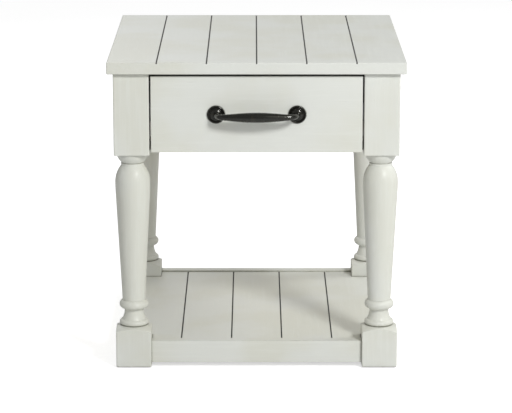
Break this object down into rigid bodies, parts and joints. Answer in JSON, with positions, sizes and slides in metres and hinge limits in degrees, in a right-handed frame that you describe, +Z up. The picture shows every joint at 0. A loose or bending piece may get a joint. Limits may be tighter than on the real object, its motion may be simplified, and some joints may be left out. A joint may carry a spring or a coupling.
{
  "type": "side table with drawer",
  "caption": "Painted side table with a plank-look top, one drawer with a dark bar pull, turned legs and an open slatted-look lower shelf.",
  "frame": {"origin": "on the floor, under the middle of the box that the whole table takes up, its pull included", "axes": "+Z up; the drawer opens towards -Y; +X is to the right seen from the front"},
  "size_m": [0.574, 0.6418, 0.61],
  "materials": {
    "paint": "antique white satin paint with a dark glaze in the grooves",
    "bronze": "dark oil-rubbed bronze, satin",
    "slide_steel": "zinc plated",
    "plywood": "thin plywood, clear sealer",
    "raw_wood": "plain hardwood, clear sealer",
    "nylon": "moulded nylon",
    "rubber": "matt",
    "screw_steel": "zinc plated"
  },
  "bodies": {
    "table_frame": {"tabletop": "paint", "leg_front_left": "paint", "leg_front_right": "paint", "leg_back_left": "paint", "leg_back_right": "paint", "apron_left": "paint", "apron_right": "paint", "apron_back": "paint", "front_rail_upper": "paint", "front_rail_lower": "paint", "stretcher_front": "paint", "stretcher_back": "paint", "stretcher_left": "paint", "stretcher_right": "paint", "shelf_panel": "paint", "shelf_cleat_front": "raw_wood", "shelf_cleat_back": "raw_wood", "shelf_cleat_left": "raw_wood", "shelf_cleat_right": "raw_wood", "top_cleat_left": "raw_wood", "top_cleat_right": "raw_wood", "top_cleat_back": "raw_wood", "slide_spacer_left": "raw_wood", "slide_spacer_right": "raw_wood", "corner_block_left": "raw_wood", "corner_block_right": "raw_wood", "corner_block_bolts": "screw_steel", "tabletop_screws": "screw_steel", "shelf_screws": "screw_steel", "slide_screws_case": "screw_steel", "floor_glides": "nylon", "drawer_bumpers": "rubber", "slide_cabinet_left": "slide_steel", "slide_cabinet_right": "slide_steel"},
    "drawer": {"drawer_front": "paint", "drawer_box_front": "raw_wood", "drawer_side_left": "raw_wood", "drawer_side_right": "raw_wood", "drawer_back": "raw_wood", "drawer_bottom": "plywood", "pull_bar": "bronze", "pull_rosette_left": "bronze", "pull_rosette_right": "bronze", "pull_screws": "screw_steel", "drawer_front_screws": "screw_steel", "slide_drawer_left": "slide_steel", "slide_drawer_right": "slide_steel", "slide_screws_drawer": "screw_steel"},
    "slide_left_middle": {"slide_middle_left": "slide_steel"},
    "slide_right_middle": {"slide_middle_right": "slide_steel"}
  },
  "joints": [
    {"name": "drawer_slide", "type": "slide", "parent": "table_frame", "child": "drawer", "axis": [0, -1, 0], "range_m": [0, 0.35]},
    {"name": "slide_middle_left", "type": "slide", "parent": "table_frame", "child": "slide_left_middle", "axis": [0, -1, 0], "range_m": [0, 0.175]},
    {"name": "slide_middle_right", "type": "slide", "parent": "table_frame", "child": "slide_right_middle", "axis": [0, -1, 0], "range_m": [0, 0.175]}
  ],
  "couplings": [
    {"joint": "slide_middle_left", "follows": "drawer_slide", "ratio": 0.5},
    {"joint": "slide_middle_right", "follows": "drawer_slide", "ratio": 0.5}
  ]
}
